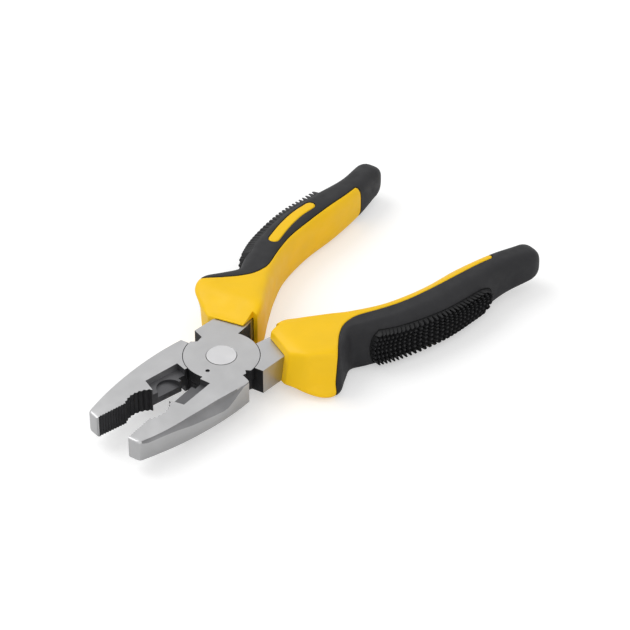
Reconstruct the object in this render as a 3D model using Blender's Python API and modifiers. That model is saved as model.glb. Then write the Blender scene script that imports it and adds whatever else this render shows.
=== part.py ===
"""Combination pliers: two steel halves on a lap joint and a rivet, with two-colour moulded grips.

Sizes are in metres. One half is drawn closed, with the joint's axis on Z at the origin, its jaw
at +X and -Y and its handle at -X and +Y. The other half is the same piece turned over about Y.
Handle shapes are drawn outwards from the middle line, so a handle's x is the drawn x negated.
"""
import math

import bmesh
import bpy
from mathutils import Matrix, Vector

# Clearances
GAP = 0.0003
RIVET_GAP = 0.00015
CLOSED_GAP = 0.0003
OPEN_ANGLE = math.radians(15.8)

# Joint
HEAD_THICKNESS = 0.0110
JOINT_RADIUS = 0.0150
SHOULDER_ANGLE = math.radians(20.0)
SHOULDER_RADIUS = 0.0194
JAW_NOTCH_ANGLE = math.radians(-9.0)
JAW_NOTCH_WIDTH = 0.0026
JAW_NOTCH_DEPTH = 0.0017
NECK_NOTCH_DEPTH = 0.0021
RIVET_SHANK_RADIUS = 0.0040
RIVET_HEAD_RADIUS = 0.0059
RIVET_HEAD_DEPTH = 0.0017
DIMPLE_AT = (0.0014, -0.0108)
DIMPLE_RADIUS = 0.0009
DIMPLE_DEPTH = 0.0008

# Jaw
JAW_REACH = 0.0597
TIP_THICKNESS = 0.0094
TIP_WIDTH = 0.0044
TIP_CORNER = 0.0018
TIP_PLAIN = 0.0014
FLANK_BULGE = 0.0026
FLANK_ROUND = 0.0010
FLAT_PITCH = 0.0012
FLAT_TOOTH = 0.0004
PIPE_FRONT = 0.0460
PIPE_REAR = 0.0336
PIPE_DEPTH = 0.0024
PIPE_TEETH = 7
PIPE_TOOTH = 0.0006
POCKET_WIDTH = 0.0062
POCKET_FRONT = 0.0322
POCKET_REAR = 0.0164
POCKET_SLANT = 0.0014
POCKET_FLARE = 0.0006
POCKET_FLOOR = 0.0026
CUTTER_RADIUS = 0.0052
CUTTER_CENTRE = 0.0257
CUTTER_ANGLE = math.radians(16.0)
THROAT_WIDTH = 0.0020
THROAT_FRONT = 0.0195
# Hollow in the flank: share of the way from the tip, depth at the top face and lowest height
HOLLOW_SECTIONS = (
    (0.00, 0.00030, 0.0038),
    (0.05, 0.00045, 0.0030),
    (0.17, 0.00070, 0.0032),
    (0.29, 0.00110, 0.0029),
    (0.42, 0.00170, 0.0018),
    (0.55, 0.00185, 0.0010),
    (0.67, 0.00180, 0.0001),
    (0.77, 0.00130, -0.0003),
    (0.88, 0.00055, 0.0028),
    (0.96, 0.00030, 0.0048),
    (1.00, 0.00010, 0.0057),
)
HOLLOW_SAG = 0.1

# Neck and tang; the places along the handle are measured from the neck's end
NECK_INSIDE = 0.0028
NECK_WIDTH = 0.0127
NECK_LENGTH = 0.0212
TANG_ROUTE = ((0.0101, 0.0048), (0.0120, 0.0108), (0.0160, 0.0239), (0.0190, 0.0316),
              (0.0234, 0.0453), (0.0251, 0.0640), (0.0237, 0.0825), (0.0227, 0.0978))
TANG_LENGTH = 0.1000
TANG_END_WIDTH = 0.0040
TANG_END_THICKNESS = 0.0080

# Grip sleeve: inner edge, outer edge, heights over and under the middle, squareness and lobe
GRIP_SECTIONS = (
    (0.0023, -0.0006, 0.0192, -0.0040, 0.0062, 0.0090, 10.0, 0.0),
    (0.0018, 0.0013, 0.0230, -0.0020, 0.0068, 0.0100, 10.0, 0.0001),
    (0.0015, 0.0040, 0.0263, 0.0003, 0.0082, 0.0106, 10.0, 0.0007),
    (0.0016, 0.0066, 0.0288, 0.0040, 0.0098, 0.0109, 10.0, 0.0028),
    (0.0021, 0.0091, 0.0313, 0.0078, 0.0108, 0.0110, 9.0, 0.0024),
    (0.0032, 0.0121, 0.0328, 0.0119, 0.0111, 0.0112, 7.0, 0.0007),
    (0.0058, 0.0170, 0.0295, 0.0174, 0.0111, 0.0117, 5.4, 0.0),
    (0.0092, 0.0239, 0.0256, 0.0238, 0.0109, 0.0116, 4.4, 0.0),
    (0.0128, 0.0322, 0.0281, 0.0309, 0.0107, 0.0113, 3.8, 0.0),
    (0.0175, 0.0464, 0.0320, 0.0443, 0.0104, 0.0112, 3.6, 0.0),
    (0.0189, 0.0642, 0.0339, 0.0642, 0.0100, 0.0109, 3.4, 0.0),
    (0.0175, 0.0830, 0.0322, 0.0826, 0.0092, 0.0102, 3.4, 0.0),
    (0.0178, 0.1008, 0.0297, 0.1005, 0.0077, 0.0092, 3.4, 0.0),
    (0.0191, 0.1142, 0.0307, 0.1139, 0.0065, 0.0082, 3.2, 0.0),
)
LOBE_FOOT = 0.0034
LOBE_CREST = 0.0080
GRIP_END = 0.0063
COLLAR_THICKNESS = 0.0220
MOUTH_LEAN = 0.15
LEAN_FADE = 5.0
MOUTH_NOTCH_WIDTH = 0.0039
MOUTH_NOTCH_REACH = 0.0046

# Black cover over the yellow core
COVER_WALL = 0.0024
CAP_START = 11.97
SEAM_ROUTE = ((0.0360, 0.0088), (0.0314, 0.0106), (0.0252, 0.0156), (0.0211, 0.0198),
              (0.0186, 0.0236), (0.0174, 0.0278), (0.0175, 0.0327), (0.0202, 0.0430),
              (0.0220, 0.0538), (0.0222, 0.0668), (0.0214, 0.0838), (0.0210, 0.0923),
              (0.0211, 0.1005))
SEAM_SLANT = 0.15
WINDOW_ROUTE = ((0.0244, 0.0476), (0.0262, 0.0573), (0.0270, 0.0670), (0.0264, 0.0754))
WINDOW_WIDTH = 0.0044
WINDOW_DEPTH = 0.0040

# Spike field on the cover's outer side
FIELD_START = 8.0
FIELD_END = 11.5
FIELD_HEIGHT = 0.0154
FIELD_END_HEIGHT = 0.0096
FIELD_BACKING = 0.0008
SPIKE_HEIGHT = 0.0021
SPIKE_COLUMNS = 27
SPIKE_ROWS = 7
SPIKE_GAP = 0.0003

# Facets
ROUND_STEPS = 96
RING_POINTS = 24
SECTION_STEPS = 2

STEEL = (0.56, 0.56, 0.57, 1.0)
RIVET_STEEL = (0.74, 0.74, 0.75, 1.0)
YELLOW = (0.95, 0.66, 0.03, 1.0)
BLACK = (0.035, 0.035, 0.037, 1.0)


def material(name, color, roughness, metallic):
    made = bpy.data.materials.new(name)
    made.use_nodes = True
    shader = made.node_tree.nodes["Principled BSDF"]
    shader.inputs["Base Color"].default_value = color
    shader.inputs["Roughness"].default_value = roughness
    shader.inputs["Metallic"].default_value = metallic
    return made


def scratch_object(name, mesh):
    made = bpy.data.objects.new(name, mesh)
    bpy.context.scene.collection.objects.link(made)
    return made


def welded_mesh(piece):
    """The piece's evaluated mesh in world space, with loose caps welded."""
    graph = bpy.context.evaluated_depsgraph_get()
    mesh = bpy.data.meshes.new_from_object(piece.evaluated_get(graph))
    mesh.transform(piece.matrix_world)
    bm = bmesh.new()
    bm.from_mesh(mesh)
    bmesh.ops.remove_doubles(bm, verts=bm.verts, dist=0.000002)
    bm.to_mesh(mesh)
    bm.free()
    return mesh


def prism(name, outline, low, high):
    """A flat outline filled and drawn up from the height low to the height high."""
    curve = bpy.data.curves.new(name, "CURVE")
    curve.dimensions = "2D"
    curve.fill_mode = "BOTH"
    curve.extrude = (high - low) / 2
    spline = curve.splines.new("POLY")
    spline.points.add(len(outline) - 1)
    for point, (x, y) in zip(spline.points, outline):
        point.co = (x, y, 0.0, 1.0)
    spline.use_cyclic_u = True
    drawn = scratch_object(name + "_outline", curve)
    drawn.location.z = (low + high) / 2
    bpy.context.view_layer.update()
    made = scratch_object(name, welded_mesh(drawn))
    bpy.data.objects.remove(drawn)
    return made


def cylinder(name, radius, low, high, steps=ROUND_STEPS, top_radius=None):
    bm = bmesh.new()
    top = radius if top_radius is None else top_radius
    bmesh.ops.create_cone(bm, cap_ends=True, segments=steps, radius1=radius, radius2=top,
                          depth=high - low)
    bmesh.ops.translate(bm, verts=bm.verts, vec=(0.0, 0.0, (low + high) / 2))
    mesh = bpy.data.meshes.new(name)
    bm.to_mesh(mesh)
    bm.free()
    return scratch_object(name, mesh)


def block(name, low, high):
    bm = bmesh.new()
    bmesh.ops.create_cube(bm, size=1.0)
    size = [b - a for a, b in zip(low, high)]
    bmesh.ops.scale(bm, verts=bm.verts, vec=size)
    bmesh.ops.translate(bm, verts=bm.verts, vec=[(a + b) / 2 for a, b in zip(low, high)])
    mesh = bpy.data.meshes.new(name)
    bm.to_mesh(mesh)
    bm.free()
    return scratch_object(name, mesh)


def loft(name, spots):
    """A closed skin over rings of points, with a cap at both ends."""
    bm = bmesh.new()
    rings = [[bm.verts.new(spot) for spot in ring] for ring in spots]
    for ring in (rings[0], rings[-1]):
        bm.faces.new(ring)
    for near, far in zip(rings, rings[1:]):
        for k in range(len(near)):
            m = (k + 1) % len(near)
            bm.faces.new((near[k], near[m], far[m], far[k]))
    bmesh.ops.recalc_face_normals(bm, faces=bm.faces)
    mesh = bpy.data.meshes.new(name)
    bm.to_mesh(mesh)
    bm.free()
    return scratch_object(name, mesh)


def combine(piece, other, operation):
    """Cuts, joins or intersects the piece with the other, which is used up."""
    modifier = piece.modifiers.new(operation.lower(), "BOOLEAN")
    modifier.operation = operation
    modifier.solver = "EXACT"
    modifier.object = other
    bpy.context.view_layer.update()
    mesh = welded_mesh(piece)
    piece.modifiers.clear()
    piece.matrix_world = Matrix()
    old = piece.data
    piece.data = mesh
    bpy.data.meshes.remove(old)
    bpy.data.objects.remove(other)


def smooth_at(rows, place):
    """Reads a smooth curve through the rows of numbers at a place counted in rows."""
    place = min(max(place, 0.0), len(rows) - 1.0)
    k = min(int(place), len(rows) - 2)
    t = place - k
    b, c = rows[k], rows[k + 1]
    a = rows[k - 1] if k > 0 else [2 * p - q for p, q in zip(b, c)]
    d = rows[k + 2] if k + 2 < len(rows) else [2 * q - p for p, q in zip(b, c)]
    return [0.5 * (2 * q + (r - p) * t + (2 * p - 5 * q + 4 * r - s) * t * t
                   + (3 * q - p - 3 * r + s) * t ** 3) for p, q, r, s in zip(a, b, c, d)]


def smooth_route(points, steps):
    """A smooth curve through the points, as a list of vectors."""
    count = (len(points) - 1) * steps
    return [Vector(smooth_at(points, k / steps)) for k in range(count + 1)]


def offset_route(route, distance):
    """The route moved sideways, to its right where the distance is positive."""
    moved = []
    for k, point in enumerate(route):
        along = route[min(k + 1, len(route) - 1)] - route[max(k - 1, 0)]
        moved.append(point + Vector((along.y, -along.x)).normalized() * distance)
    return moved


def mix(a, b, share):
    return a + (b - a) * share


def mirrored(points):
    """Handle points drawn outwards, put on the handle's side at -X."""
    return [(-point[0], point[1]) for point in points]


def past_neck(points):
    """Points measured from the neck's end, as places from the joint's axis."""
    return [(point[0], point[1] + NECK_LENGTH) for point in points]


def tang_edges(clearance):
    """The tang's inner edge, outwards from the mouth, and its outer edge, back to the mouth."""
    start = (NECK_INSIDE + NECK_WIDTH / 2, NECK_LENGTH)
    route = smooth_route([start] + past_neck(TANG_ROUTE), 4)
    inner = []
    outer = []
    run = 0.0
    previous = route[0]
    for k, point in enumerate(route):
        run += (point - previous).length
        previous = point
        if run > TANG_LENGTH:
            break
        along = (route[min(k + 1, len(route) - 1)] - route[max(k - 1, 0)]).normalized()
        outward = Vector((along.y, -along.x))
        half = mix(NECK_WIDTH, TANG_END_WIDTH, run / TANG_LENGTH) / 2 + clearance
        point = point + along * clearance * run / TANG_LENGTH
        inner.append(point - outward * half)
        outer.append(point + outward * half)
    inner[0] = Vector((NECK_INSIDE - clearance, NECK_LENGTH))
    outer[0] = Vector((NECK_INSIDE + NECK_WIDTH + clearance, NECK_LENGTH))
    return inner, outer[::-1]


def polar(radius, angle):
    return radius * math.cos(angle), radius * math.sin(angle)


def arc(radius, start, end):
    """Points on a circle about the joint's axis, on the same facets as a full cylinder."""
    step = 2 * math.pi / ROUND_STEPS
    first = math.ceil(start / step + 0.01)
    last = math.floor(end / step - 0.01)
    return [polar(radius, start)] + [polar(radius, step * k) for k in range(first, last + 1)] + [
        polar(radius, end)]


def gripping_edge():
    """The jaw's working edge, from the tip to the throat, on the middle line when closed."""
    face = CLOSED_GAP / 2
    edge = [(face, -JAW_REACH)]
    first = JAW_REACH - TIP_PLAIN
    teeth = round((first - PIPE_FRONT) / FLAT_PITCH)
    pitch = (first - PIPE_FRONT) / teeth
    for tooth in range(teeth):
        start = -first + pitch * tooth
        edge.append((face, start))
        edge.append((face + FLAT_TOOTH, start + pitch / 2))
    chord = PIPE_FRONT - PIPE_REAR
    radius = (chord * chord / 4 + PIPE_DEPTH * PIPE_DEPTH) / (2 * PIPE_DEPTH)
    centre = (face + PIPE_DEPTH - radius, -(PIPE_FRONT + PIPE_REAR) / 2)
    half = math.asin(chord / 2 / radius)
    for tooth in range(PIPE_TEETH):
        for reach, place in ((radius, 0.0), (radius + PIPE_TOOTH, 0.5)):
            angle = half * (2 * (tooth + place) / PIPE_TEETH - 1)
            edge.append((centre[0] + reach * math.cos(angle), centre[1] + reach * math.sin(angle)))
    edge.append((face, -PIPE_REAR))
    edge.append((face, -THROAT_FRONT))
    edge.append((THROAT_WIDTH, -THROAT_FRONT))
    return edge


def flank_edge():
    """The jaw's outer edge, a shallow arc from the rounded tip to the shoulder."""
    tip = Vector((TIP_WIDTH, -JAW_REACH))
    start = tip + Vector((TIP_CORNER, TIP_CORNER * 0.7))
    end = Vector(polar(SHOULDER_RADIUS, -SHOULDER_ANGLE))
    chord = end - start
    normal = Vector((chord.y, -chord.x)).normalized()
    edge = [tip, tip + Vector((TIP_CORNER * 0.62, TIP_CORNER * 0.2))]
    for step in range(15):
        share = step / 14
        edge.append(start + chord * share + normal * FLANK_BULGE * (1 - (2 * share - 1) ** 2))
    return edge


def half_outline():
    """The steel half seen from above, anticlockwise from the tip's outer corner."""
    outline = flank_edge()
    outline.append(polar(JOINT_RADIUS, -SHOULDER_ANGLE))
    notch = JAW_NOTCH_WIDTH / 2 / JOINT_RADIUS
    outline += arc(JOINT_RADIUS, -SHOULDER_ANGLE, JAW_NOTCH_ANGLE - notch)[1:]
    outline.append(polar(JOINT_RADIUS - JAW_NOTCH_DEPTH, JAW_NOTCH_ANGLE))
    neck_meets = math.pi - math.acos(NECK_INSIDE / JOINT_RADIUS)
    outline += arc(JOINT_RADIUS, JAW_NOTCH_ANGLE + notch, neck_meets)
    inner, outer = tang_edges(0.0)
    outline += mirrored(inner + outer)
    shoulder = math.pi - SHOULDER_ANGLE
    outline.append(polar(SHOULDER_RADIUS - GAP, shoulder))
    outline.append(polar(JOINT_RADIUS - NECK_NOTCH_DEPTH / 2, shoulder))
    outline.append(polar(JOINT_RADIUS - NECK_NOTCH_DEPTH, math.pi - SHOULDER_ANGLE / 3))
    throat = 2 * math.pi - math.acos(THROAT_WIDTH / JOINT_RADIUS)
    outline += arc(JOINT_RADIUS, math.pi, throat)
    outline += gripping_edge()[::-1]
    return outline


def taper_jaw_and_tang(piece):
    """Thins the jaw towards its tip and the tang towards its end."""
    bm = bmesh.new()
    bm.from_mesh(piece.data)
    jaw_start = -POCKET_REAR
    tang_start = NECK_LENGTH + MOUTH_NOTCH_REACH
    for place in (jaw_start, tang_start):
        bmesh.ops.bisect_plane(bm, geom=bm.verts[:] + bm.edges[:] + bm.faces[:], dist=0.000001,
                               plane_co=(0.0, place, 0.0), plane_no=(0.0, 1.0, 0.0))
    tang_end = NECK_LENGTH + TANG_ROUTE[-1][1]
    for vert in bm.verts:
        jaw_share = (jaw_start - vert.co.y) / (JAW_REACH - POCKET_REAR)
        tang_share = (vert.co.y - tang_start) / (tang_end - tang_start)
        if jaw_share > 0:
            vert.co.z *= mix(1.0, TIP_THICKNESS / HEAD_THICKNESS, jaw_share)
        if tang_share > 0:
            vert.co.z *= mix(1.0, TANG_END_THICKNESS / HEAD_THICKNESS, tang_share)
    bm.to_mesh(piece.data)
    bm.free()


def round_flank(piece):
    """Rounds the jaw's outer edges, above and below, from the tip's inner corner to the shoulder."""
    bm = bmesh.new()
    bm.from_mesh(piece.data)
    bmesh.ops.dissolve_limit(bm, angle_limit=math.radians(0.5), verts=bm.verts, edges=bm.edges)
    corner = Vector((CLOSED_GAP / 2, -JAW_REACH))
    rim = [corner] + flank_edge()
    edges = []
    for edge in bm.edges:
        level = abs(edge.verts[0].co.z - edge.verts[1].co.z) < GAP / 10
        spots = rim if level else [corner]
        if all(min(math.dist(v.co.xy, spot) for spot in spots) < GAP / 10 for v in edge.verts):
            edges.append(edge)
    bmesh.ops.bevel(bm, geom=edges, offset=FLANK_ROUND, offset_type="OFFSET", segments=3,
                    profile=0.5, affect="EDGES", clamp_overlap=True, material=-1)
    bm.to_mesh(piece.data)
    bm.free()


def cut_cutter(piece):
    """Sinks the pocket on both faces and grinds the half-moon facet to the cutting edge."""
    over = HEAD_THICKNESS
    outline = ((-THROAT_WIDTH, -POCKET_FRONT - POCKET_SLANT), (POCKET_WIDTH, -POCKET_FRONT),
               (POCKET_WIDTH + POCKET_FLARE, -POCKET_REAR), (-THROAT_WIDTH, -POCKET_REAR))
    for side in (1, -1):
        levels = sorted((side * POCKET_FLOOR, side * over))
        combine(piece, prism("pocket", outline, *levels), "DIFFERENCE")
    moon = cylinder("moon", CUTTER_RADIUS, -over, 0.0)
    turn = Matrix.Rotation(CUTTER_ANGLE, 4, "Y")
    moon.data.transform(Matrix.Translation((0.0, -CUTTER_CENTRE, 0.0)) @ turn)
    combine(piece, moon, "DIFFERENCE")


def face_height(y):
    """The height of the jaw's face over the middle, at a place along the jaw."""
    share = min(max((-POCKET_REAR - y) / (JAW_REACH - POCKET_REAR), 0.0), 1.0)
    return mix(HEAD_THICKNESS, TIP_THICKNESS, share) / 2


def hollow_ring(share, depth, low, start, chord):
    """One closed ring of the hollow's tool, square to the jaw's flank."""
    normal = Vector((chord.y, -chord.x)).normalized()
    spot = start + chord * share + normal * FLANK_BULGE * (1 - (2 * share - 1) ** 2)
    over = HEAD_THICKNESS
    high = Vector((-depth, face_height(spot.y)))
    run = Vector((0.0, low)) - high
    sag = Vector((run.y, -run.x)) * HOLLOW_SAG
    section = [Vector((-depth, over)), high, high + run / 3 + sag, high + run * 2 / 3 + sag,
               high + run]
    way = (section[-1] - section[-2]).normalized() * FLANK_ROUND
    section += [high + run + way, Vector((over, (high + run + way).y)), Vector((over, over))]
    return [(*(spot + normal * out), height) for out, height in section]


def cut_hollow(piece):
    """Scoops the long lens-shaped hollow along the upper part of the jaw's flank."""
    edge = flank_edge()
    steps = 2 * (len(HOLLOW_SECTIONS) - 1)
    rings = [hollow_ring(*smooth_at(HOLLOW_SECTIONS, k / 2), edge[2], edge[-1] - edge[2])
             for k in range(steps + 1)]
    combine(piece, loft("hollow", rings), "DIFFERENCE")


def half_mesh():
    """The steel half, drawn closed with its joint disc in the upper layer."""
    half = HEAD_THICKNESS / 2
    piece = prism("half", half_outline(), -half, half)
    round_flank(piece)
    taper_jaw_and_tang(piece)
    combine(piece, cylinder("lap", JOINT_RADIUS + GAP, -HEAD_THICKNESS, GAP / 2), "DIFFERENCE")
    bore = cylinder("bore", RIVET_SHANK_RADIUS + RIVET_GAP, -HEAD_THICKNESS, HEAD_THICKNESS, 48)
    combine(piece, bore, "DIFFERENCE")
    slope = (RIVET_HEAD_RADIUS - RIVET_SHANK_RADIUS) / RIVET_HEAD_DEPTH
    low = half - RIVET_HEAD_DEPTH - RIVET_GAP
    high = half + RIVET_HEAD_DEPTH
    seat = cylinder("seat", RIVET_SHANK_RADIUS + RIVET_GAP, low, high, 48,
                    RIVET_SHANK_RADIUS + RIVET_GAP + slope * (high - low))
    combine(piece, seat, "DIFFERENCE")
    dimple = cylinder("dimple", DIMPLE_RADIUS, half - DIMPLE_DEPTH, HEAD_THICKNESS, 16)
    dimple.data.transform(Matrix.Translation((*DIMPLE_AT, 0.0)))
    combine(piece, dimple, "DIFFERENCE")
    cut_cutter(piece)
    cut_hollow(piece)
    return take_mesh(piece)


def take_mesh(piece):
    mesh = piece.data
    bpy.data.objects.remove(piece)
    return mesh


def rivet_mesh():
    """The rivet turned about the joint's axis, its profile run from top to bottom."""
    half = HEAD_THICKNESS / 2
    neck = half - RIVET_HEAD_DEPTH
    profile = ((0.0, half), (RIVET_HEAD_RADIUS, half), (RIVET_SHANK_RADIUS, neck),
               (RIVET_SHANK_RADIUS, -neck), (RIVET_HEAD_RADIUS, -half), (0.0, -half))
    mesh = bpy.data.meshes.new("rivet_profile")
    bm = bmesh.new()
    verts = [bm.verts.new((x, 0.0, z)) for x, z in profile]
    for a, b in zip(verts, verts[1:]):
        bm.edges.new((a, b))
    bm.to_mesh(mesh)
    bm.free()
    turned = scratch_object("rivet_turned", mesh)
    screw = turned.modifiers.new("turn", "SCREW")
    screw.steps = 48
    screw.render_steps = 48
    screw.use_merge_vertices = True
    screw.merge_threshold = 0.00001
    bpy.context.view_layer.update()
    made = welded_mesh(turned)
    bpy.data.objects.remove(turned)
    return made


def grip_section(place, inset):
    """The sleeve's middle, half width as a vector, heights over and under it and its shape."""
    row = smooth_at(GRIP_SECTIONS, place)
    inner, outer = [Vector(spot) for spot in past_neck((row[0:2], row[2:4]))]
    across = (outer - inner) / 2
    across -= across.normalized() * inset
    return (inner + outer) / 2, across, (row[4] - inset, row[5] - inset), row[6:]


def rim_directions(count):
    """Directions round a section, set closer together towards its four corners."""
    directions = []
    spread = math.radians(81.0)
    for k in range(count):
        side, step = divmod(k, count // 4)
        along = math.sin((2 * (step + 0.5) / (count // 4) - 1) * spread) / math.sin(spread)
        turned = Matrix.Rotation(side * math.pi / 2, 2) @ Vector((1.0, along))
        directions.append(turned)
    return directions


def grip_ring(place, inset, inner_reach, shrink, ahead):
    """One closed ring of points round the tang, a box with rounded corners."""
    middle, across, heights, (power, lobe) = grip_section(place, inset)
    forward = Vector((-across.y, across.x)).normalized()
    inward = across + across.normalized() * inner_reach
    lean = MOUTH_LEAN * max(1 - place / LEAN_FADE, 0.0)
    highest = COLLAR_THICKNESS / 2 - inset
    ring = []
    for way in rim_directions(RING_POINTS):
        rim = (abs(way.x) ** power + abs(way.y) ** power) ** (-1 / power)
        side, up = way.x * rim, way.y * rim
        height = up * heights[0 if up > 0 else 1] * shrink
        reach = across if side > 0 else inward
        spot = middle + reach * side * shrink + forward * (ahead - lean * height)
        swell = min(max((height - LOBE_FOOT) / (LOBE_CREST - LOBE_FOOT), 0.0), 1.0)
        spot += across.normalized() * lobe * swell * (3 - 2 * swell) * swell * max(side, 0.0) ** 2
        ring.append((-spot.x, spot.y, min(max(height, -highest), highest)))
    return ring


def grip_stations(inset, clearance):
    """Where the sleeve's rings stand: section, added inner reach, size and way ahead of it."""
    last = len(GRIP_SECTIONS) - 1
    places = [k / SECTION_STEPS for k in range(last * SECTION_STEPS + 1)]
    if inset == 0.0:
        stations = [(place, 0.0, 1.0, 0.0) for place in places]
    else:
        bare = 2 * COVER_WALL
        stations = [(place, bare, 1.0, 0.0) for place in places if place < CAP_START]
        stations.append((CAP_START, bare, 1.0, clearance))
        stations.append((CAP_START, 0.0, 1.0, clearance + GAP / 3))
        stations += [(place, 0.0, 1.0, 0.0) for place in places if place > CAP_START]
    for share in (0.4, 0.7, 0.9, 1.0):
        angle = share * math.pi / 2
        stations.append((last, 0.0, mix(0.45, 1.0, math.cos(angle)),
                         (GRIP_END - inset) * math.sin(angle)))
    return stations


def grip_loft(name, inset=0.0, clearance=0.0):
    """The sleeve's outer form, or the core's form under the cover, as one skin over its rings."""
    return loft(name, [grip_ring(place, inset, inner_reach, shrink, ahead)
                       for place, inner_reach, shrink, ahead in grip_stations(inset, clearance)])


def window_bar(clearance):
    """The bar that stands in the cover's window, round at both ends."""
    half = WINDOW_WIDTH / 2 + clearance
    route = smooth_route(past_neck(WINDOW_ROUTE), 4)
    outline = offset_route(route, half)
    for end, forward in ((route[-1], route[-1] - route[-2]), (route[0], route[0] - route[1])):
        forward = forward.normalized()
        sideways = Vector((forward.y, -forward.x))
        for step in range(1, 8):
            angle = math.pi * step / 8
            outline.append(end + (sideways * math.cos(angle) + forward * math.sin(angle)) * half)
        if end == route[-1]:
            outline += offset_route(route, -half)[::-1]
    low = COLLAR_THICKNESS / 2 - WINDOW_DEPTH - clearance
    return prism("bar", mirrored(outline)[::-1], low, COLLAR_THICKNESS)


def cover_zone(clearance):
    """All the space that the black cover may fill, less its clearance to the yellow core."""
    seam = offset_route(smooth_route(past_neck(SEAM_ROUTE), 3), clearance)
    far = seam[-1].y + GRIP_END * 6
    end = seam[-1].y + clearance
    outline = [(far, seam[0].y)] + [tuple(point) for point in seam[:-1]]
    outline += [(seam[-1].x, end - GAP), (0.0, end - GAP), (0.0, far), (far, far)]
    zone = prism("zone", mirrored(outline), -COLLAR_THICKNESS, COLLAR_THICKNESS)
    slant = Matrix.Identity(4)
    slant[0][2] = SEAM_SLANT
    zone.data.transform(slant)
    combine(zone, grip_loft("form", COVER_WALL - clearance, clearance), "DIFFERENCE")
    combine(zone, window_bar(clearance), "DIFFERENCE")
    return zone


def socket():
    """The room for the tang in the core, open at the mouth."""
    inner, outer = tang_edges(GAP)
    foot = polar(SHOULDER_RADIUS, SHOULDER_ANGLE)
    outline = [(inner[0].x, foot[1])] + inner + outer + [(foot[0] + GAP, foot[1])]
    half = HEAD_THICKNESS / 2 + GAP
    room = prism("socket", mirrored(outline), -half, half)
    taper_jaw_and_tang(room)
    return room


def core_mesh():
    """The yellow core: the sleeve less the space of its black cover and the tang's room."""
    piece = grip_loft("core")
    combine(piece, cover_zone(0.0), "DIFFERENCE")
    combine(piece, socket(), "DIFFERENCE")
    over = COLLAR_THICKNESS
    reach = NECK_LENGTH + MOUTH_NOTCH_REACH
    notch = block("notch", (-MOUTH_NOTCH_WIDTH, 0.0, -over), (over, reach, over))
    combine(piece, notch, "DIFFERENCE")
    return take_mesh(piece)


def cover_mesh():
    """The black cover: the rest of the sleeve, with a bed for the spike field."""
    piece = grip_loft("cover")
    combine(piece, cover_zone(GAP), "INTERSECT")
    combine(piece, field_slab("bed", -FIELD_BACKING - GAP, SPIKE_HEIGHT, GAP), "DIFFERENCE")
    return take_mesh(piece)


def field_point(share, rise, lift, margin):
    """A point by the cover's outer side, a share of the way along the field and at a rise."""
    half = mix(FIELD_HEIGHT, FIELD_END_HEIGHT, share) / 2 + margin
    ends = 0.5 * (1 - math.sqrt(max(1 - (0.95 * rise) ** 2, 0.0)))
    place = mix(FIELD_START + ends, FIELD_END - ends, share)
    middle, across, heights, (power, _) = grip_section(place, 0.0)
    height = heights[0 if rise > 0 else 1]
    reach = (1 - (abs(rise) * half / height) ** power) ** (1 / power)
    spot = middle + across * reach + across.normalized() * lift
    forward = Vector((-across.y, across.x)).normalized()
    spot += forward * margin * (2 * share - 1)
    return -spot.x, spot.y, rise * half


def field_slab(name, low, high, margin):
    """A slice with round ends laid on the cover's outer side, between two heights over it."""
    bm = bmesh.new()
    bmesh.ops.create_grid(bm, x_segments=SPIKE_COLUMNS, y_segments=SPIKE_ROWS, size=1.0)
    skin = bmesh.ops.extrude_face_region(bm, geom=bm.faces[:])
    raised = {item for item in skin["geom"] if isinstance(item, bmesh.types.BMVert)}
    for vert in bm.verts:
        lift = high if vert in raised else low
        vert.co = field_point((vert.co.x + 1) / 2, vert.co.y, lift, margin)
    bmesh.ops.recalc_face_normals(bm, faces=bm.faces)
    mesh = bpy.data.meshes.new(name)
    bm.to_mesh(mesh)
    bm.free()
    return scratch_object(name, mesh)


def spikes_mesh():
    """The field of short four-sided spikes on its slice of backing."""
    bm = bmesh.new()
    bmesh.ops.create_grid(bm, x_segments=SPIKE_COLUMNS, y_segments=SPIKE_ROWS, size=1.0)
    length = (Vector(GRIP_SECTIONS[-3][2:4]) - Vector(GRIP_SECTIONS[8][2:4])).length
    bmesh.ops.scale(bm, verts=bm.verts, vec=(length / 2, FIELD_HEIGHT / 2, 1.0))
    tops = bm.faces[:]
    skin = bmesh.ops.extrude_face_region(bm, geom=tops, use_keep_orig=True)
    base = [item for item in skin["geom"] if isinstance(item, bmesh.types.BMVert)]
    bmesh.ops.translate(bm, verts=base, vec=(0.0, 0.0, -FIELD_BACKING))
    bmesh.ops.inset_individual(bm, faces=tops, thickness=SPIKE_GAP)
    points = bmesh.ops.poke(bm, faces=tops, center_mode="MEAN_WEIGHTED")["verts"]
    bmesh.ops.translate(bm, verts=points, vec=(0.0, 0.0, SPIKE_HEIGHT))
    for vert in bm.verts:
        share = vert.co.x / length + 0.5
        vert.co = field_point(share, vert.co.y * 2 / FIELD_HEIGHT, vert.co.z, 0.0)
    bmesh.ops.recalc_face_normals(bm, faces=bm.faces)
    mesh = bpy.data.meshes.new("spikes")
    bm.to_mesh(mesh)
    bm.free()
    return mesh


def place_piece(name, mesh, coating, turned, spread, collection):
    """Makes the named piece from its closed mesh, on the joint's axis and opened by its angle."""
    mesh = mesh.copy()
    mesh.name = name
    if turned:
        mesh.transform(Matrix.Rotation(math.pi, 4, "Y"))
    mesh.materials.clear()
    mesh.materials.append(coating)
    for polygon in mesh.polygons:
        polygon.use_smooth = True
    mesh.set_sharp_from_angle(angle=math.radians(28.0))
    piece = bpy.data.objects.new(name, mesh)
    piece.rotation_euler = (0.0, 0.0, spread)
    collection.objects.link(piece)
    return piece


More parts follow.
